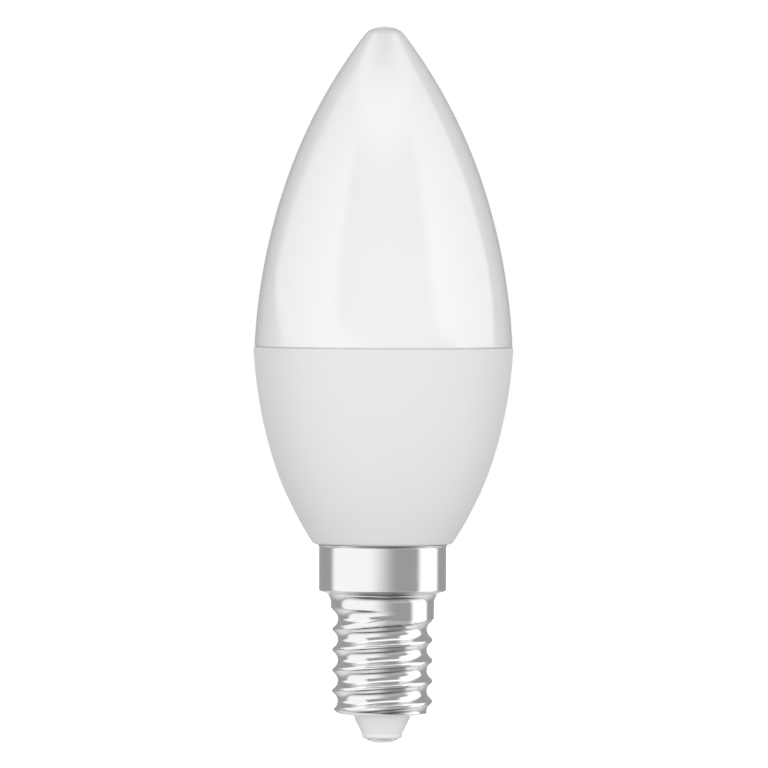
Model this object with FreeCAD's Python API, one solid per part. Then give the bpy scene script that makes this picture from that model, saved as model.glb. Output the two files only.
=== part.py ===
import FreeCAD, Part
import math
import os

# Candle bulb: a glossy opal diffuser on a white plastic housing, over a small rolled screw cap.
# +Z runs up the axis, and the origin is the lowest point of the centre contact.
# Lengths are in millimetres and angles in degrees. A lean is the angle between an outline and +Z.

# Centre contact: a domed metal button with a shank
contact_radius = 2.13
contact_flat_radius = 0.7
contact_dome = 0.40
contact_edge = 0.12
shank_radius = 0.9
shank_length = 2.4

# Insulator between the contact and the screw shell
nose_radius = 2.75
nose_round = 0.45
nose_height = 0.65
cone_height = 2.43
flange_radius = 4.9
flange_height = 1.6

# Screw shell: sheet metal, drawn to a stepped cup and rolled to a right-hand thread
shell_wall = 0.25
opening_radius = 4.0
end_rise = 0.50
end_round = 1.10
tail_taper = 0.26
tail_height = 2.2
thread_pitch = 2.822
crest_radius = 6.93
root_radius = 6.05
crest_round = 0.55
thread_height = 13.4
shoulder_height = 1.0
neck_radius = 7.10
neck_height = 3.2
shelf_round = 1.5
shelf_rise = 0.68
collar_radius = 8.76
collar_round = 0.35
collar_height = 6.0
lip_flare = 0.20
lip_height = 0.35

# The rolled groove: where it dies out above, how far it runs on below the shell, and its section
groove_top_azimuth = -44.0
groove_above_thread = 1.03
groove_runout = 1.10
fade_turns = 0.38
crest_land_angle = 12.0
crest_facets = 2
root_facets = 4
path_points_a_turn = 12

# Housing: a matt plastic cup between the cap and the diffuser
housing_height = 27.07
rim_radius = 17.86
rim_lean_angle = 2.8
rim_wall = 1.4
foot_overhang = 0.14
foot_lean_angle = 33.0
foot_round = 0.80

# Diffuser: an opal dome that plugs into the housing's rim
diffuser_height = 43.95
rim_step = 0.09
seam_lean_angle = 2.7
tip_radius = 2.75
tip_height = 1.2
tip_lean_angle = 37.4
spigot_height = 3.0

# Clearances
seam_gap = 0.20
seat_gap = 0.05
fit_gap = 0.10

# Radii that follow from the neighbour: the foot covers the lip, and the rim stands just proud
foot_radius = collar_radius + lip_flare + foot_overhang
seam_radius = rim_radius - rim_step

# Heights up the stack
contact_back = contact_dome + contact_edge
cone_start = contact_back + nose_height
shell_end = cone_start + cone_height
thread_top = shell_end + thread_height
groove_top = thread_top + groove_above_thread
groove_end = shell_end - groove_runout
shelf_foot = thread_top + neck_height
collar_foot = shelf_foot + shelf_rise
lip_foot = collar_foot + collar_height
shell_top = lip_foot + lip_height
housing_foot = shell_top + seat_gap
rim_height = housing_foot + housing_height
diffuser_foot = rim_height + seam_gap
bulb_top = diffuser_foot + diffuser_height

axis_point = FreeCAD.Vector(0, 0, 0)
axis = FreeCAD.Vector(0, 0, 1)


def at(radius, height):
    """A point of a half section, in the XZ plane."""
    return FreeCAD.Vector(radius, 0, height)


def leaning(angle, outwards=False):
    """The direction of an outline that rises and leans towards the axis, or away from it."""
    side = 1 if outwards else -1
    return at(side * math.sin(math.radians(angle)), math.cos(math.radians(angle)))


def arc_between(start, direction, end):
    """The arc that leaves start along direction and reaches end."""
    chord = end - start
    across = FreeCAD.Vector(0, 1, 0).cross(chord).normalize()
    half_turn = math.atan2(direction.dot(across), direction.dot(chord) / chord.Length) / 2
    middle = (start + end) * 0.5 + across * (chord.Length / 2 * math.tan(half_turn))
    return Part.Arc(start, middle, end).toShape()


def two_arcs(start, start_direction, end, end_direction):
    """Two arcs, tangent to each other, that join two points with given directions."""
    span = end - start
    both = start_direction + end_direction
    spread = 2 * (1 - start_direction.dot(end_direction))
    reach = (math.sqrt(span.dot(both) ** 2 + spread * span.dot(span)) - span.dot(both)) / spread
    meeting = (start + end + (start_direction - end_direction) * reach) * 0.5
    return [
        arc_between(start, start_direction, meeting),
        arc_between(end, end_direction * -1, meeting),
    ]


def rounded_line(corners):
    """Edges along corners given as (radius, height, rounding), each corner rounded by an arc."""
    edges = []
    here = at(*corners[0][:2])
    for i in range(1, len(corners)):
        corner = at(*corners[i][:2])
        rounding = corners[i][2]
        if rounding > 0 and i + 1 < len(corners):
            before = (at(*corners[i - 1][:2]) - corner).normalize()
            after = (at(*corners[i + 1][:2]) - corner).normalize()
            half_angle = before.getAngle(after) / 2
            inset = rounding / math.tan(half_angle)
            centre = corner + (before + after).normalize() * (rounding / math.sin(half_angle))
            middle = centre + (corner - centre).normalize() * rounding
            edges.append(Part.makeLine(here, corner + before * inset))
            here = corner + after * inset
            edges.append(Part.Arc(corner + before * inset, middle, here).toShape())
        else:
            edges.append(Part.makeLine(here, corner))
            here = corner
    return edges


def moved_inwards(corners, distance):
    """A rising outline moved towards the inside by a wall, with sharp corners."""
    points = [at(*corner[:2]) for corner in corners]
    sides = [(b - a).normalize() for a, b in zip(points, points[1:])]
    normals = [at(-side.z, side.x) for side in sides]
    moved = []
    for i, point in enumerate(points):
        before = normals[max(i - 1, 0)]
        after = normals[min(i, len(normals) - 1)]
        place = point + (before + after) * (distance / (1 + before.dot(after)))
        moved.append((place.x, place.z, 0))
    return moved


def revolved(edges):
    """The solid made by turning a closed half section about Z."""
    outline = Part.Wire(Part.__sortEdges__(edges))
    return Part.Face(outline).revolve(axis_point, axis, 360)


def cylinder(radius, bottom, top):
    """A solid cylinder on the axis, from one height to another."""
    return Part.makeCylinder(radius, top - bottom, at(0, bottom))


def shell_outline(threaded_radius, threaded_top):
    """The screw shell's outline from the end opening up to the lip, with no thread cut in it."""
    return [
        (opening_radius, shell_end, 0),
        (threaded_radius - tail_taper, shell_end + end_rise, end_round),
        (threaded_radius, shell_end + tail_height, 0),
        (threaded_radius, threaded_top - shoulder_height, 0),
        (neck_radius, threaded_top, 0),
        (neck_radius, shelf_foot, shelf_round),
        (collar_radius, collar_foot, collar_round),
        (collar_radius, lip_foot, 0),
        (collar_radius + lip_flare, shell_top, 0),
    ]


def inside_of_shell():
    """The shell's inner outline: a wall inside its outline, and behind the groove's root."""
    return moved_inwards(shell_outline(root_radius, groove_top + shoulder_height), shell_wall)


def groove_section():
    """The section that the groove removes, centred on its root, with its arcs cut into facets.

    Root and crests are arcs that touch each other. The section stops on each crest a little
    before its top, so that a narrow land stays there, and runs out past the neck.
    """
    depth = crest_radius - root_radius
    both_arcs = ((thread_pitch / 2) ** 2 + depth ** 2) / (2 * depth)
    root_round = both_arcs - crest_round
    crest_centre = crest_radius - crest_round
    root_centre = root_radius + root_round
    flank = math.degrees(math.asin(thread_pitch / 2 / both_arcs))
    upper_half = []
    for i in range(crest_facets + 1):
        angle = math.radians(crest_land_angle + (flank - crest_land_angle) * i / crest_facets)
        radius = crest_centre + crest_round * math.cos(angle)
        upper_half.append((radius, thread_pitch / 2 - crest_round * math.sin(angle)))
    for i in range(1, root_facets // 2 + 1):
        angle = math.radians(flank * (1 - 2 * i / root_facets))
        upper_half.append((root_centre - root_round * math.cos(angle), root_round * math.sin(angle)))
    lower_half = [(radius, -height) for radius, height in reversed(upper_half[:-1])]
    edge_height = upper_half[0][1]
    outside = neck_radius + fit_gap
    section = [(outside, edge_height)] + upper_half + lower_half + [(outside, -edge_height)]
    points = [at(radius, height) for radius, height in section]
    return Part.makePolygon(points + points[:1])


def groove():
    """The groove as a solid, swept down a right-hand helix that moves outwards at both ends."""
    turns = (groove_top - groove_end) / thread_pitch
    lift = neck_radius + fit_gap - root_radius
    steps = math.ceil(turns * path_points_a_turn)
    path_points = []
    for i in range(steps + 1):
        turn = turns * i / steps
        into_fade = max(1 - min(turn, turns - turn) / fade_turns, 0)
        radius = root_radius + lift * into_fade ** 2 * (3 - 2 * into_fade)
        azimuth = math.radians(groove_top_azimuth - 360 * turn)
        height = groove_top - thread_pitch * turn
        path_points.append(FreeCAD.Vector(radius * math.cos(azimuth), radius * math.sin(azimuth), height))
    path = Part.BSplineCurve()
    path.interpolate(path_points)
    section = groove_section()
    section.translate(at(lift, groove_top))
    section.rotate(axis_point, axis, groove_top_azimuth)
    sweep = Part.BRepOffsetAPI.MakePipeShell(Part.Wire([path.toShape()]))
    sweep.setBiNormalMode(axis)
    sweep.add(section, False, False)
    sweep.build()
    sweep.makeSolid()
    return sweep.shape()


def make_screw_shell():
    """A drawn cup with the groove cut round it. Inside, a plain bore passes behind the groove."""
    outer = shell_outline(crest_radius, thread_top)
    blank = revolved(rounded_line([(0, shell_end, 0)] + outer + [(0, shell_top, 0), (0, shell_end, 0)]))
    inner = inside_of_shell()
    bottom = (0, inner[0][1], 0)
    above = shell_top + shell_wall
    mouth = [(inner[-1][0], above, 0), (0, above, 0)]
    inside = revolved(rounded_line([bottom] + inner + mouth + [bottom]))
    opening = cylinder(opening_radius, shell_end - shell_wall, thread_top)
    return blank.cut(groove()).cut(inside).cut(opening)


def make_centre_contact():
    """A shallow dome with a flat middle, on a shank that is held in the insulator."""
    dome = arc_between(at(contact_flat_radius, 0), at(1, 0), at(contact_radius, contact_dome))
    rest = [
        (contact_radius, contact_dome, 0),
        (contact_radius, contact_back, 0),
        (shank_radius, contact_back, 0),
        (shank_radius, contact_back + shank_length, 0),
        (0, contact_back + shank_length, 0),
        (0, 0, 0),
        (contact_flat_radius, 0, 0),
    ]
    return revolved([dome] + rounded_line(rest))


def flange_outline():
    """The insulator's flange, from the shell's opening round to its top, above the sloping end."""
    stem_radius = opening_radius - seat_gap
    inner_end, inner_corner = inside_of_shell()[:2]
    slope = (inner_corner[1] - inner_end[1]) / (inner_corner[0] - inner_end[0])
    foot = inner_end[1] + seat_gap
    rim_foot = foot + slope * (flange_radius - stem_radius)
    return [
        (stem_radius, shell_end, 0),
        (stem_radius, foot, 0),
        (flange_radius, rim_foot, 0),
        (flange_radius, rim_foot + flange_height, 0),
    ]


def make_insulator():
    """A blunt cone below the shell, with a flange that rests inside the shell's end."""
    flange = flange_outline()
    flange_top = flange[-1][1]
    bore_radius = shank_radius + fit_gap
    bore_top = contact_back + shank_length + fit_gap
    outline = [
        (bore_radius, contact_back, 0),
        (nose_radius, contact_back, nose_round),
        (nose_radius, cone_start, 0),
        *flange,
        (0, flange_top, 0),
        (0, bore_top, 0),
        (bore_radius, bore_top, 0),
        (bore_radius, contact_back, 0),
    ]
    return revolved(rounded_line(outline))


def make_housing():
    """A filled cup, with a plug in the screw shell below and a recess for the diffuser above."""
    collar_plug = collar_radius - shell_wall - fit_gap
    neck_plug = root_radius - shell_wall - fit_gap
    plug_shelf = collar_foot + shell_wall + fit_gap
    plug_foot = flange_outline()[-1][1] + fit_gap
    recess_radius = rim_radius - rim_wall
    recess_floor = diffuser_foot - spigot_height
    foot = at(foot_radius, housing_foot)
    turn_up = math.radians(foot_lean_angle)
    side_foot = foot + at(math.cos(turn_up), 1 - math.sin(turn_up)) * foot_round
    rim = at(rim_radius, rim_height)
    corner = arc_between(foot, at(1, 0), side_foot)
    side = two_arcs(side_foot, leaning(foot_lean_angle, True), rim, leaning(rim_lean_angle, True))
    inner = [
        (rim_radius, rim_height, 0),
        (recess_radius, rim_height, 0),
        (recess_radius, recess_floor, 0),
        (0, recess_floor, 0),
        (0, plug_foot, 0),
        (neck_plug, plug_foot, 0),
        (neck_plug, plug_shelf, 0),
        (collar_plug, plug_shelf, 0),
        (collar_plug, housing_foot, 0),
        (foot_radius, housing_foot, 0),
    ]
    return revolved([corner] + side + rounded_line(inner))


def make_diffuser():
    """A filled dome that rests on a spigot, with a hairline gap above the housing's rim."""
    spigot_radius = rim_radius - rim_wall - fit_gap
    spigot_foot = diffuser_foot - spigot_height
    seam = at(seam_radius, diffuser_foot)
    shoulder = at(tip_radius, bulb_top - tip_height)
    tip = at(0, bulb_top)
    flank = two_arcs(seam, leaning(seam_lean_angle), shoulder, leaning(tip_lean_angle))
    cap = two_arcs(shoulder, leaning(tip_lean_angle), tip, at(-1, 0))
    inner = [
        (0, bulb_top, 0),
        (0, spigot_foot, 0),
        (spigot_radius, spigot_foot, 0),
        (spigot_radius, diffuser_foot, 0),
        (seam_radius, diffuser_foot, 0),
    ]
    return revolved(flank + cap + rounded_line(inner))


pieces = {
    "diffuser": make_diffuser,
    "housing": make_housing,
    "screw_shell": make_screw_shell,
    "insulator": make_insulator,
    "centre_contact": make_centre_contact,
}

os.makedirs("parts", exist_ok=True)
for name, make in pieces.items():
    solid = make()
    solid.exportStep("parts/" + name + ".step")
    print(name, "volume", round(solid.Volume, 1), "solids", len(solid.Solids), "valid", solid.isValid())
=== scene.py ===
# %% [markdown]
# # A candle bulb with an opal diffuser and a small screw cap
#
# The bulb is five pieces in a stack: a centre contact, an insulator, a rolled screw shell,
# a white plastic housing and an opal diffuser. All of them are round about one upright axis,
# and only the thread breaks that roundness. So each piece is one half outline turned about Z,
# and the thread is a formula that moves points of the turned shell inwards.

# %% Load the frame
import bpy
import math
import numpy as np
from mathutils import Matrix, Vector


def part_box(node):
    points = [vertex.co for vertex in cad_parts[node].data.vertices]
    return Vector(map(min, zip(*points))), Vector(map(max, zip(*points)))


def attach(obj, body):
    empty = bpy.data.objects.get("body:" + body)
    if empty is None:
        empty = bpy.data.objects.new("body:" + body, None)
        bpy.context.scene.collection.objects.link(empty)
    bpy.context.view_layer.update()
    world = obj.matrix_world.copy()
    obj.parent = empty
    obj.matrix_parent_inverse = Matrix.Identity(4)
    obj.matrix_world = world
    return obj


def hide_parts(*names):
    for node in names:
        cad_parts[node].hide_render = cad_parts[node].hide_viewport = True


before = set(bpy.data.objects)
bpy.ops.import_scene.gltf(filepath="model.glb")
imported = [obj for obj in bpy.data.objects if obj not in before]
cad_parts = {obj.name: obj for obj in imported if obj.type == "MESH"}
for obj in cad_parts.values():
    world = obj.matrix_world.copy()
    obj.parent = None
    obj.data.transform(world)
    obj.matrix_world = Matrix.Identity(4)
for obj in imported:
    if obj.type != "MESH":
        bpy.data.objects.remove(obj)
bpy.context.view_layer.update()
MM = 0.001

# %% [markdown]
# ## Sizes
#
# Heights and outer radii come from the CAD nodes' boxes. What a box can't give, such as an
# arc's lean or the thread's pitch, is a named value, as a rule the one in the CAD model.
# The thread's section and the seam are the two exceptions, and their cells say why.
# A lean is the angle in degrees between an outline and the axis.

# %% Sizes from the frame
diffuser_low, diffuser_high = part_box("diffuser")
_, housing_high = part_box("housing")
shell_low, shell_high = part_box("screw_shell")
insulator_low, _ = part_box("insulator")
_, contact_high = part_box("centre_contact")

bulb_top = diffuser_high.z
seam_radius = diffuser_high.x
rim_radius = housing_high.x
rim_height = housing_high.z
shell_end = shell_low.z
shell_top = shell_high.z
lip_radius = shell_high.x
contact_back = insulator_low.z
contact_radius = contact_high.x
print("bulb", round(bulb_top / MM, 2), "mm tall,", round(2 * rim_radius / MM, 2), "mm across")

# %% Sizes of each piece
seam_gap = 0.20 * MM
seam_lean_angle = 2.7
tip_radius = 2.75 * MM
tip_height = 1.2 * MM
tip_lean_angle = 37.4
spigot_inset = 1.41 * MM
spigot_shown = 1.0 * MM
seam_round = 0.06 * MM
seam_step = 0.02 * MM
seam_step_round = 0.014 * MM
seam_clearance = 0.01 * MM
edge_draft = 0.001 * MM

housing_foot = shell_top + 0.05 * MM
foot_radius = 9.10 * MM
foot_lean_angle = 33.0
foot_round = 0.80 * MM
rim_lean_angle = 2.8
rim_wall = 1.4 * MM
hidden_depth = 1.0 * MM

opening_radius = 4.0 * MM
opening_round = 0.08 * MM
end_rise = 0.50 * MM
end_round = 1.10 * MM
tail_taper = 0.26 * MM
tail_height = 2.2 * MM
thread_pitch = 2.822 * MM
crest_radius = 6.93 * MM
root_radius = 6.13 * MM
flank_tilt = 45.0
root_share = 0.8
crest_blend = 0.12 * MM
thread_height = 13.4 * MM
shoulder_height = 1.0 * MM
neck_radius = 7.10 * MM
neck_height = 3.2 * MM
shelf_round = 1.5 * MM
shelf_rise = 0.68 * MM
collar_radius = 8.76 * MM
collar_round = 0.35 * MM
lip_height = 0.35 * MM
lip_round = 0.05 * MM
shell_wall = 0.25 * MM
groove_top_azimuth = -44.0
groove_above_thread = 1.03 * MM
groove_runout = 1.10 * MM
fade_turns = 0.38

nose_radius = 2.75 * MM
nose_round = 0.45 * MM
nose_height = 0.65 * MM
cone_round = 0.5 * MM
seat_gap = 0.05 * MM
contact_flat = 0.7 * MM
contact_dome = 0.40 * MM

# %% [markdown]
# ## Outlines
#
# An outline is a list of (radius, height) points. Arcs are worked out from where they start,
# which way they leave and where they end, so neighbouring arcs meet without a kink.
# Two arcs in a row can join any two points with given directions at both ends.

# %% Outline tools
point_spacing = 0.25 * MM
fine_spacing = 0.1 * MM
edge_spacing = 0.08 * MM
least_steps = 4
steps_per_radian = 7


def leaning(angle, outwards=False):
    """The direction of an outline that rises and leans towards the axis, or away from it."""
    side = 1 if outwards else -1
    return np.array([side * math.sin(math.radians(angle)), math.cos(math.radians(angle))])


def straight(start, end, spacing=point_spacing):
    """Evenly spaced points from start to end, without the last."""
    start, end = np.array(start, float), np.array(end, float)
    count = max(1, math.ceil(np.linalg.norm(end - start) / spacing))
    return [tuple(start + (end - start) * i / count) for i in range(count)]


def arc(start, direction, end, spacing=point_spacing):
    """Points of the arc that leaves start along direction and reaches end, without the last."""
    start, end = np.array(start, float), np.array(end, float)
    chord = end - start
    length = np.linalg.norm(chord)
    side = direction[0] * chord[1] - direction[1] * chord[0]
    half_turn = math.atan2(side, direction @ chord)
    if abs(half_turn) < 1e-6:
        return straight(start, end, spacing)
    radius = length / (2 * math.sin(half_turn))
    centre = start + radius * np.array([-direction[1], direction[0]])
    whole_turn = 2 * half_turn
    by_length = math.ceil(abs(whole_turn * radius) / spacing)
    by_turn = math.ceil(abs(whole_turn) * steps_per_radian)
    count = max(least_steps, by_length, by_turn)
    points = []
    for i in range(count):
        angle = whole_turn * i / count
        turn = np.array([[math.cos(angle), -math.sin(angle)], [math.sin(angle), math.cos(angle)]])
        points.append(tuple(centre + turn @ (start - centre)))
    return points


def two_arcs(start, start_direction, end, end_direction):
    """Points of two arcs, tangent to each other, that join two points with given directions."""
    start, end = np.array(start, float), np.array(end, float)
    span = end - start
    both = start_direction + end_direction
    spread = 2 * (1 - start_direction @ end_direction)
    reach = (math.sqrt((span @ both) ** 2 + spread * (span @ span)) - span @ both) / spread
    meeting = (start + end + (start_direction - end_direction) * reach) / 2
    first = arc(start, start_direction, meeting)
    back = arc(end, -end_direction, meeting)
    return first + [tuple(meeting)] + back[:0:-1]


def rounded(corners, spacing=point_spacing):
    """Points along corners given as (radius, height, rounding), each corner rounded by an arc."""
    points = []
    here = np.array(corners[0][:2])
    for i in range(1, len(corners)):
        corner = np.array(corners[i][:2])
        rounding = corners[i][2]
        if rounding > 0 and i + 1 < len(corners):
            before = np.array(corners[i - 1][:2]) - corner
            after = np.array(corners[i + 1][:2]) - corner
            before, after = before / np.linalg.norm(before), after / np.linalg.norm(after)
            half_angle = math.acos(before @ after) / 2
            inset = rounding / math.tan(half_angle)
            points += straight(here, corner + before * inset, spacing)
            points += arc(corner + before * inset, -before, corner + after * inset, spacing)
            here = corner + after * inset
        else:
            points += straight(here, corner, spacing)
            here = corner
    return points + [tuple(here)]


# %% [markdown]
# ## Turning an outline
#
# A turned piece is a grid of rings and columns. A ring on the axis is a single point, so the
# diffuser's tip and the contact's middle close cleanly. A ring's radius may be changed by a
# function of azimuth and height, and that is all the thread needs.

# %% Turn an outline into a mesh
wide_columns = 256
thread_columns = 360
cone_columns = 128
small_columns = 96


def turned(name, outline, columns, reshape=None):
    """A mesh object made by turning an outline about Z."""
    azimuths = np.arange(columns) * (2 * math.pi / columns)
    vertices = []
    rings = []
    for radius, height in outline:
        if radius < 1e-7:
            rings.append([len(vertices)])
            vertices.append((0.0, 0.0, height))
            continue
        radii = np.full(columns, radius)
        if reshape:
            radii = reshape(azimuths, radii, height)
        rings.append(list(range(len(vertices), len(vertices) + columns)))
        vertices += zip(radii * np.cos(azimuths), radii * np.sin(azimuths), np.full(columns, height))
    faces = []
    for lower, upper in zip(rings, rings[1:]):
        for i in range(columns):
            j = (i + 1) % columns
            if len(lower) == 1:
                faces.append((lower[0], upper[j], upper[i]))
            elif len(upper) == 1:
                faces.append((lower[i], lower[j], upper[0]))
            else:
                faces.append((lower[i], lower[j], upper[j], upper[i]))
    mesh = bpy.data.meshes.new(name)
    mesh.from_pydata([tuple(map(float, v)) for v in vertices], [], faces)
    mesh.validate()
    mesh.shade_smooth()
    piece = bpy.data.objects.new(name, mesh)
    bpy.context.scene.collection.objects.link(piece)
    print(name, len(mesh.vertices), "points,", len(mesh.polygons), "faces")
    return piece


def place(piece, node, material):
    """Give a piece its material, put it on the bulb and let it stand for its CAD node."""
    piece.data.materials.append(material)
    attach(piece, "root")
    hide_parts(node)


# %% [markdown]
# ## Node materials
#
# Every finish starts from one shader and a few noises in object space, so nothing depends on
# the view. No real surface has quite the same colour, gloss and level all over, and small
# helpers let each of the three drift a little in spots of a given size.

# %% Material tools
def grey(value):
    """A neutral colour of the given brightness."""
    return (value, value, value)


def new_material(name, base_color, roughness, metallic=0.0):
    """A node material with one shader; returns the material and its shader."""
    material = bpy.data.materials.new(name)
    material.use_nodes = True
    shader = material.node_tree.nodes["Principled BSDF"]
    shader.inputs["Base Color"].default_value = (*base_color, 1)
    shader.inputs["Roughness"].default_value = roughness
    shader.inputs["Metallic"].default_value = metallic
    return material, shader


def noise(material, size, detail=3.0, stretch=(1, 1, 1)):
    """A noise in object space with features of about the given size in metres."""
    nodes, links = material.node_tree.nodes, material.node_tree.links
    coordinates = nodes.new("ShaderNodeTexCoord")
    mapping = nodes.new("ShaderNodeMapping")
    mapping.inputs["Scale"].default_value = stretch
    texture = nodes.new("ShaderNodeTexNoise")
    texture.inputs["Scale"].default_value = 1 / size
    texture.inputs["Detail"].default_value = detail
    links.new(coordinates.outputs["Object"], mapping.inputs["Vector"])
    links.new(mapping.outputs["Vector"], texture.inputs["Vector"])
    return texture.outputs["Fac"]


def ranged(material, value, low, high, start=0.3, end=0.7):
    """The value's middle range, mapped to low and high."""
    node = material.node_tree.nodes.new("ShaderNodeMapRange")
    node.inputs["From Min"].default_value = start
    node.inputs["From Max"].default_value = end
    node.inputs["To Min"].default_value = low
    node.inputs["To Max"].default_value = high
    material.node_tree.links.new(value, node.inputs["Value"])
    return node.outputs["Result"]


def tinted(material, value, low_color, high_color):
    """A colour that goes from one tint to another with the value."""
    node = material.node_tree.nodes.new("ShaderNodeMix")
    node.data_type = "RGBA"
    node.inputs["A"].default_value = (*low_color, 1)
    node.inputs["B"].default_value = (*high_color, 1)
    material.node_tree.links.new(value, node.inputs["Factor"])
    return node.outputs["Result"]


def vary_color(material, shader, low_color, high_color, size, detail):
    """Let the base colour drift from one tint to another in spots of the given size."""
    color = tinted(material, noise(material, size, detail), low_color, high_color)
    material.node_tree.links.new(color, shader.inputs["Base Color"])


def vary_roughness(material, shader, low, high, size):
    """Let the roughness drift from low to high in spots of the given size."""
    roughness = ranged(material, noise(material, size), low, high)
    material.node_tree.links.new(roughness, shader.inputs["Roughness"])


def bump(material, shader, height, depth, strength=1.0):
    """Raise the surface by height times depth, in metres."""
    node = material.node_tree.nodes.new("ShaderNodeBump")
    node.inputs["Distance"].default_value = depth
    node.inputs["Strength"].default_value = strength
    material.node_tree.links.new(height, node.inputs["Height"])
    material.node_tree.links.new(node.outputs["Normal"], shader.inputs["Normal"])


# %% [markdown]
# ## Diffuser
#
# The diffuser is moulded in one piece from milky plastic, and its mould leaves it polished.
# Light goes a little way into it before it comes back, so it has a soft subsurface glow, and
# a clear coat over it shows the studio as crisp strips. Its waviness is only just there.
# The real seam below it is a hairline gap. A gap as deep as that would draw as a black line
# here, so the seam is a shallow step just behind the surface.

# %% Opal diffuser
def opal_plastic():
    """Milky glossy plastic."""
    material, shader = new_material("opal_plastic", grey(0.96), 0.09)
    vary_color(material, shader, grey(0.955), grey(0.965), size=9 * MM, detail=2.0)
    vary_roughness(material, shader, 0.07, 0.11, size=3 * MM)
    shader.inputs["Subsurface Weight"].default_value = 0.15
    shader.inputs["IOR"].default_value = 1.58
    shader.inputs["Coat Weight"].default_value = 0.8
    shader.inputs["Coat Roughness"].default_value = 0.05
    shader.inputs["Subsurface Radius"].default_value = grey(1.0)
    shader.inputs["Subsurface Scale"].default_value = 1.2 * MM
    waves = noise(material, size=6 * MM, detail=1.0)
    bump(material, shader, waves, depth=0.01 * MM, strength=0.4)
    return material


diffuser_foot = rim_height + seam_gap
seam_foot = rim_height + seam_clearance
plug_radius = rim_radius - spigot_inset
step_radius = seam_radius - seam_step
shoulder = (tip_radius, bulb_top - tip_height)
side_lean = leaning(seam_lean_angle)
tip_lean = leaning(tip_lean_angle)
side_start = np.array([seam_radius, diffuser_foot]) + side_lean * 2 * seam_round
diffuser_outline = rounded(
    [
        (0, diffuser_low.z, 0),
        (plug_radius, diffuser_low.z, 0),
        (plug_radius, seam_foot, 0),
        (step_radius, seam_foot, 0),
        (step_radius, diffuser_foot, 0),
        (seam_radius, diffuser_foot, seam_step_round),
        (seam_radius - edge_draft, diffuser_foot + 2 * seam_round, 0),
    ]
)[:-1]
diffuser_outline += two_arcs(side_start, side_lean, shoulder, tip_lean)
diffuser_outline += two_arcs(shoulder, tip_lean, (0, bulb_top), np.array([-1.0, 0.0]))
diffuser_outline.append((0, bulb_top))
diffuser = turned("opal_diffuser", diffuser_outline, wide_columns)
place(diffuser, "diffuser", opal_plastic())

# %% [markdown]
# ## Housing
#
# The housing is injection moulded in white plastic, and its mould is lightly eroded, which
# leaves the even matt grain of such parts. Its foot is rounded, and its rim has the small
# rounding that a mould gives, which catches a thin line of light beside the seam.

# %% Matt white housing
def matt_plastic():
    """White moulded plastic with a fine eroded grain."""
    material, shader = new_material("matt_white_plastic", grey(0.825), 0.5)
    vary_color(material, shader, grey(0.815), grey(0.835), size=7 * MM, detail=3.0)
    vary_roughness(material, shader, 0.46, 0.58, size=0.5 * MM)
    grain = noise(material, size=0.16 * MM, detail=2.0)
    bump(material, shader, grain, depth=0.006 * MM)
    return material


turn_up = math.radians(foot_lean_angle)
side_foot = (
    foot_radius + foot_round * math.cos(turn_up),
    housing_foot + foot_round * (1 - math.sin(turn_up)),
)
foot_lean = leaning(foot_lean_angle, True)
rim_lean = leaning(rim_lean_angle, True)
side_end = np.array([rim_radius, rim_height]) - rim_lean * 2 * seam_round
hidden_height = housing_foot + hidden_depth
mouth_radius = collar_radius - shell_wall
housing_outline = straight((0, hidden_height), (mouth_radius, hidden_height), 2 * hidden_depth)
housing_outline += straight((mouth_radius, housing_foot), (foot_radius, housing_foot))
housing_outline += arc((foot_radius, housing_foot), np.array([1.0, 0.0]), side_foot, edge_spacing)
housing_outline += two_arcs(side_foot, foot_lean, side_end, rim_lean)
housing_outline += rounded(
    [
        (*side_end, 0),
        (rim_radius, rim_height, seam_round),
        (rim_radius - rim_wall, rim_height, 0),
        (rim_radius - rim_wall, rim_height - spigot_shown, 0),
        (0, rim_height - spigot_shown, 0),
    ]
)
housing = turned("matt_housing", housing_outline, wide_columns)
place(housing, "housing", matt_plastic())

# %% [markdown]
# ## Screw shell
#
# The shell is drawn from thin sheet, rolled to its thread and nickel plated. The thread's
# groove is one helix. For any point of the shell the nearest turn of the helix is found, and
# the groove's section there is a root arc, a straight flank and a crest arc. Its root is up to
# 0.1 mm fuller than in the CAD model, as the highlights in the photograph ask for. The groove
# and the plain outline are blended where they meet, which rounds the crests as rolling does.
# At both ends the groove rises out of the metal over part of a turn.

# %% Thread formula
thread_top = shell_end + thread_height
groove_top = thread_top + groove_above_thread
groove_turns = (groove_top - shell_end + groove_runout) / thread_pitch

half_pitch = thread_pitch / 2
groove_depth = crest_radius - root_radius
tilt = math.radians(flank_tilt)
flank_run = groove_depth * math.sin(tilt) / (1 - math.cos(tilt)) - half_pitch
both_rounds = (half_pitch - flank_run * math.cos(tilt)) / math.sin(tilt)
root_round = root_share * both_rounds
crest_round = both_rounds - root_round
root_end = root_round * math.sin(tilt)
crest_start = half_pitch - crest_round * math.sin(tilt)
beyond_slope = 2.5
print("thread rounds in mm: root", round(root_round / MM, 2), "crest", round(crest_round / MM, 2))


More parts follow.
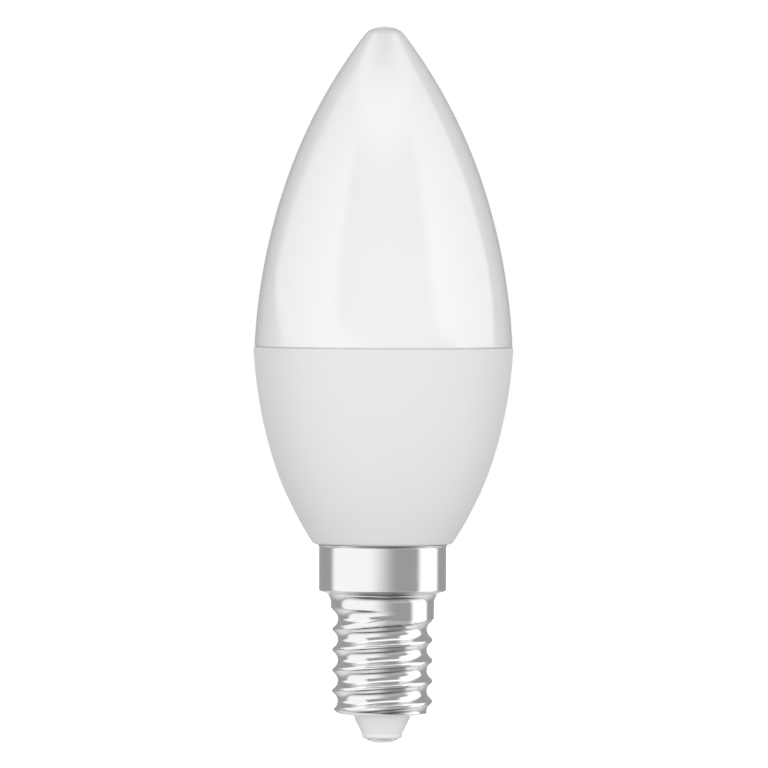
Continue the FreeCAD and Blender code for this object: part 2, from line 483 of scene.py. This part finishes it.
def groove_radius(azimuths, height):
    """The radius of the rolled groove's surface, by azimuth, at one height."""
    first_turn = np.mod(groove_top_azimuth / 360 - azimuths / (2 * math.pi), 1)
    nearest = np.round((groove_top - height) / thread_pitch - first_turn)
    turn = np.clip(first_turn + nearest, first_turn, None)
    aside = np.abs(height - (groove_top - thread_pitch * turn))
    on_root = root_round - np.sqrt(root_round**2 - np.minimum(aside, root_end) ** 2)
    on_flank = np.clip(aside - root_end, 0, crest_start - root_end) * math.tan(tilt)
    from_crest = np.clip(half_pitch - aside, 0, half_pitch - crest_start)
    on_crest = np.sqrt(crest_round**2 - from_crest**2) - crest_round * math.cos(tilt)
    beyond = np.maximum(aside - half_pitch, 0) * beyond_slope
    into_fade = np.clip(1 - np.minimum(turn, groove_turns - turn) / fade_turns, 0, 1)
    lift = (neck_radius + crest_blend - root_radius) * into_fade**2 * (3 - 2 * into_fade)
    return root_radius + on_root + on_flank + on_crest + beyond + lift


def threaded(azimuths, radii, height):
    """The shell's radius where the groove and the plain outline meet in a rounded crest."""
    groove = groove_radius(azimuths, height)
    nearness = np.maximum(crest_blend - np.abs(groove - radii), 0) / crest_blend
    return np.minimum(groove, radii) - nearness**2 * crest_blend / 4


# %% Nickel-plated screw shell
def nickel_plate():
    """Bright nickel with faint rolling lines round the shell."""
    material, shader = new_material("nickel_plate", grey(0.80), 0.12, metallic=1.0)
    vary_color(material, shader, (0.79, 0.79, 0.785), grey(0.81), size=4 * MM, detail=2.0)
    vary_roughness(material, shader, 0.09, 0.17, size=2.5 * MM)
    rings = noise(material, size=1.0 * MM, detail=3.0, stretch=(0.15, 0.15, 12))
    bump(material, shader, rings, depth=0.002 * MM, strength=0.5)
    return material


crest_spacing = 0.12 * MM
shelf_foot = thread_top + neck_height
collar_foot = shelf_foot + shelf_rise
shell_outline = rounded(
    [
        (opening_radius, shell_end + shell_wall, 0),
        (opening_radius, shell_end, opening_round),
        (crest_radius - tail_taper, shell_end + end_rise, end_round),
        (crest_radius, shell_end + tail_height, 0),
        (crest_radius, thread_top - shoulder_height, 0),
        (neck_radius, thread_top, 0),
        (neck_radius, shelf_foot, shelf_round),
        (collar_radius, collar_foot, collar_round),
        (collar_radius, shell_top - lip_height, 0),
        (lip_radius, shell_top, lip_round),
        (lip_radius - shell_wall, shell_top, 0),
        (collar_radius - shell_wall, shell_top - lip_height, 0),
    ],
    crest_spacing,
)
shell = turned("rolled_shell", shell_outline, thread_columns, threaded)
place(shell, "screw_shell", nickel_plate())

# %% [markdown]
# ## Insulator and centre contact
#
# The insulator is a blunt cone of pale moulded material that keeps the contact clear of the
# shell. The contact is a small tinned button, slightly domed, with a flat in its middle.

# %% Insulator
def pale_insulator():
    """Satin moulded insulator."""
    material, shader = new_material("pale_insulator", grey(0.87), 0.35)
    vary_color(material, shader, grey(0.85), grey(0.89), size=1.2 * MM, detail=3.0)
    vary_roughness(material, shader, 0.30, 0.42, size=0.4 * MM)
    grain = noise(material, size=0.25 * MM, detail=2.0)
    bump(material, shader, grain, depth=0.008 * MM)
    return material


cone_start = contact_back + nose_height
stem_radius = opening_radius - seat_gap
stem_top = shell_end + hidden_depth
insulator_outline = rounded(
    [
        (0, contact_back, 0),
        (nose_radius, contact_back, nose_round),
        (nose_radius, cone_start, cone_round),
        (stem_radius, shell_end, 0),
        (stem_radius, stem_top, 0),
        (0, stem_top, 0),
    ],
    fine_spacing,
)
insulator = turned("insulator_cone", insulator_outline, cone_columns)
place(insulator, "insulator", pale_insulator())


# %% Centre contact
def tinned_metal():
    """Soft bright metal with fine scratches."""
    material, shader = new_material("tinned_metal", grey(0.76), 0.25, metallic=1.0)
    vary_color(material, shader, (0.73, 0.73, 0.72), grey(0.79), size=0.8 * MM, detail=2.0)
    vary_roughness(material, shader, 0.18, 0.34, size=0.5 * MM)
    scratches = noise(material, size=0.3 * MM, detail=3.0)
    bump(material, shader, scratches, depth=0.01 * MM)
    return material


dome_edge = (contact_radius, contact_dome)
contact_outline = [(0.0, 0.0)]
contact_outline += arc((contact_flat, 0), np.array([1.0, 0.0]), dome_edge, edge_spacing)
contact_outline += rounded(
    [
        (*dome_edge, 0),
        (contact_radius, contact_back, 0),
        (0, contact_back, 0),
    ],
    fine_spacing,
)
contact = turned("contact_button", contact_outline, small_columns)
place(contact, "centre_contact", tinned_metal())

# %% [markdown]
# ## Camera
#
# The photograph is taken from far away, a little above the bulb's middle. The real size of one
# pixel and the lens give the distance. The bulb leans a fraction of a degree in the picture,
# so the camera is rolled by that much.

# %% Camera
frame_pixels = 768
pixel_size = 0.1375 * MM
lens_mm = 600.0
sensor_mm = 36.0
camera_elevation = 1.1
camera_roll = -0.22
camera_aside = -0.04 * MM
picture_centre = Vector((0.0, 0.0, 49.3 * MM))

camera_data = bpy.data.cameras.new("camera")
camera_data.lens = lens_mm
camera_data.sensor_width = sensor_mm
distance = pixel_size * frame_pixels * lens_mm / sensor_mm
elevation = math.radians(camera_elevation)
camera = bpy.data.objects.new("camera", camera_data)
camera.location = picture_centre + Vector((0, -math.cos(elevation), math.sin(elevation))) * distance
camera.location.x += camera_aside
camera.rotation_euler = (math.radians(90 - camera_elevation), math.radians(camera_roll), 0)
camera_data.clip_end = 100
bpy.context.scene.collection.objects.link(camera)
bpy.context.scene.camera = camera
print("camera", round(distance, 3), "m away")

# %% [markdown]
# ## Floor
#
# The floor is a plain pale disc under the bulb. It is seen by the camera alone: its own glow
# brings it up to the white of the backdrop, and the bulb's soft shadow takes a little off that.
# What the floor would throw back at the bulb is in the world's light below.

# %% Pale floor
floor_radius = 1.2
floor_glow = 0.80
floor_rings = [(radius, 0.0) for radius in (0.0, 0.05, 0.2, floor_radius)]
floor = turned("floor", floor_rings, small_columns)
floor.visible_diffuse = False
floor.visible_glossy = False
floor_paint, floor_shader = new_material("pale_floor", grey(0.8), 0.9)
floor_shader.inputs["Specular IOR Level"].default_value = 0.0
floor_shader.inputs["Emission Color"].default_value = (1, 1, 1, 1)
floor_shader.inputs["Emission Strength"].default_value = floor_glow
vary_color(floor_paint, floor_shader, grey(0.79), grey(0.81), size=0.05, detail=2.0)
floor.data.materials.append(floor_paint)

# %% [markdown]
# ## Studio light
#
# All the light is in the world, and the kind of a ray decides what it meets. The camera sees
# plain white. Matt surfaces get one smooth glow, most of it from the front half, with a panel
# behind so that the back isn't grey. Glossy rays meet a studio with panels, and that is what
# draws the white bands on the metal and the two strips on the diffuser.


# %% Light tools
def linked(value, socket):
    """Set a socket to a number, or link another socket to it."""
    if isinstance(value, (int, float)):
        socket.default_value = value
    else:
        tree.links.new(value, socket)


def calculate(operation, *values):
    """One math node over sockets or numbers."""
    node = tree.nodes.new("ShaderNodeMath")
    node.operation = operation
    for value, socket in zip(values, node.inputs):
        linked(value, socket)
    return node.outputs["Value"]


def chained(operation, values):
    """The same operation over all the values, two at a time."""
    result = values[0]
    for value in values[1:]:
        result = calculate(operation, result, value)
    return result


def product(*values):
    """All the values multiplied."""
    return chained("MULTIPLY", values)


def total(*values):
    """All the values added."""
    return chained("ADD", values)


def largest(*values):
    """The largest of the values."""
    return chained("MAXIMUM", values)


def rise(value, start, end):
    """0 at start and 1 at end, with a smooth rise between them; start and end may swap."""
    node = tree.nodes.new("ShaderNodeMapRange")
    node.interpolation_type = "SMOOTHSTEP"
    for name, number in (("Value", value), ("From Min", start), ("From Max", end)):
        linked(number, node.inputs[name])
    return node.outputs["Result"]


# %% Directions
world = bpy.data.worlds.new("studio")
bpy.context.scene.world = world
world.use_nodes = True
tree = world.node_tree
split = tree.nodes.new("ShaderNodeSeparateXYZ")
tree.links.new(tree.nodes.new("ShaderNodeTexCoord").outputs["Generated"], split.inputs["Vector"])
right, back, up = split.outputs
front = product(back, -1.0)
degrees = 180 / math.pi
azimuth = product(calculate("ARCTAN2", right, front), degrees)
above = product(calculate("ARCSINE", up), degrees)
aside = calculate("ABSOLUTE", azimuth)
print("directions from", len(tree.nodes), "nodes")

# %% [markdown]
# ### Side panels
#
# Azimuth 0 is the camera's side, and minus is left. The collar and the neck look out level, and
# on them the left panel reaches just past the middle and fades out slowly. The diffuser looks
# out higher, and shows a crisp panel at each side, from 45 degrees on. So an edge is its azimuth
# for level rays, the one for raised rays, and how it slants with height. The other pairs of
# angles say where a change of light starts and where it is done.

# %% Side panels
grey_gap = 0.39
left_light = 0.76
right_light = 0.90
left_outer = (-103, -131, 0.6)
left_inner = (1, -45, 0.0)
right_inner = (70, 46, 0.0)
right_outer = (118, 124, -0.35)
left_outer_blur = (-8, 8)
right_inner_blur = (-7, 7)
right_outer_blur = (4, -4)
level_blur = 29
raised_blur = 5
level_to_raised = (2, 9)
left_foot = (-68, -25)
right_foot = (-52, -25)
raised = rise(above, *level_to_raised)
height_angle = largest(above, 0.0)


def from_edge(level_azimuth, raised_azimuth, slant):
    """How far a ray's azimuth is from a panel's edge, in degrees."""
    edge = calculate("MULTIPLY_ADD", raised, raised_azimuth - level_azimuth, level_azimuth)
    edge = calculate("MULTIPLY_ADD", height_angle, slant, edge)
    return calculate("SUBTRACT", azimuth, edge)


blur = calculate("MULTIPLY_ADD", raised, raised_blur - level_blur, level_blur)
left_panel = product(
    rise(from_edge(*left_outer), *left_outer_blur),
    rise(from_edge(*left_inner), blur, product(blur, -1.0)),
    left_light,
    rise(above, *left_foot),
)
right_panel = product(
    rise(from_edge(*right_outer), *right_outer_blur),
    rise(from_edge(*right_inner), *right_inner_blur),
    right_light,
    rise(above, *right_foot),
)
print("panels of", left_light + grey_gap, "and", right_light + grey_gap, "of plain white")

# %% [markdown]
# ### The rest of the studio
#
# A band crosses overhead in front, and a faint one lies low in front. The floor is light behind
# the bulb, with a darker arc below it in front. Right overhead the studio is nearly dark, and
# straight behind the bulb hangs the white backdrop. The thread's flanks show all of these as
# thin lines.

# %% Bands, floor and backdrop
band_light = 1.15
band_foot = (35, 56)
low_light = 0.16
low_top = (-12, -20)
low_foot = (-50, -25)
floor_behind = 0.50
floor_side = (100, 135)
floor_top = (-10, -42)
dark_arc = 0.26
arc_top = (-45, -60)
arc_foot = (-86, -74)
dark_above = 0.06
zenith = (80, 52)
front_side = (125, 95)
backdrop_side = (168, 172)
backdrop_foot = (-20, -15)
backdrop_top = (40, 35)

in_front = rise(aside, *front_side)
band = product(rise(above, *band_foot), in_front, band_light)
low_band = product(rise(above, *low_top), rise(above, *low_foot), in_front, low_light)
far_floor = product(rise(aside, *floor_side), rise(above, *floor_top), floor_behind)
darker = product(rise(above, *arc_top), rise(above, *arc_foot), in_front, dark_arc)
above_foot, below_top = rise(above, *backdrop_foot), rise(above, *backdrop_top)
backdrop = product(rise(aside, *backdrop_side), above_foot, below_top)

panels = largest(total(left_panel, right_panel), band, low_band, far_floor)
studio_light = product(total(panels, grey_gap), rise(above, *zenith))
studio_light = largest(studio_light, dark_above)
studio_light = calculate("SUBTRACT", studio_light, darker)
studio_light = largest(studio_light, backdrop)
print("studio from", len(tree.nodes), "nodes")

# %% [markdown]
# ### Light for matt surfaces
#
# A matt surface adds up light from a whole half of the world, so it needs no sharp panels. The
# glow is strongest at eye level and grows to both sides, which keeps the bulb's edges from
# falling off to grey. A little comes from above, and more from a panel behind.

# %% Soft light for matt surfaces
level_light = 1.335
left_side_light = 0.56
right_side_light = 0.59
top_light = 0.11
back_light = 2.1
side_glow = 0.12
front_edge = (-0.2, 0.18)
back_edge = (-0.66, -0.88)
level = calculate("SUBTRACT", 1.0, calculate("ABSOLUTE", up))
to_left = product(calculate("MINIMUM", right, 0.0), -left_side_light)
to_right = product(largest(right, 0.0), right_side_light)
from_front = total(to_left, to_right, product(level, level_light))
from_front = product(from_front, rise(front, *front_edge))
from_top = product(largest(up, 0.0), top_light)
from_back = product(rise(front, *back_edge), back_light)
soft_light = largest(total(from_front, from_top, from_back), side_glow)

# %% Join the light by kind of ray
path_kind = tree.nodes.new("ShaderNodeLightPath")
for_glossy = tree.nodes.new("ShaderNodeMix")
for_camera = tree.nodes.new("ShaderNodeMix")
linked(path_kind.outputs["Is Glossy Ray"], for_glossy.inputs["Factor"])
linked(soft_light, for_glossy.inputs["A"])
linked(studio_light, for_glossy.inputs["B"])
linked(path_kind.outputs["Is Camera Ray"], for_camera.inputs["Factor"])
linked(for_glossy.outputs["Result"], for_camera.inputs["A"])
for_camera.inputs["B"].default_value = 1.0
background = tree.nodes["Background"]
background.inputs["Color"].default_value = (1, 1, 1, 1)
linked(for_camera.outputs["Result"], background.inputs["Strength"])
bpy.context.scene.view_settings.view_transform = "Standard"
print("world has", len(tree.nodes), "nodes")
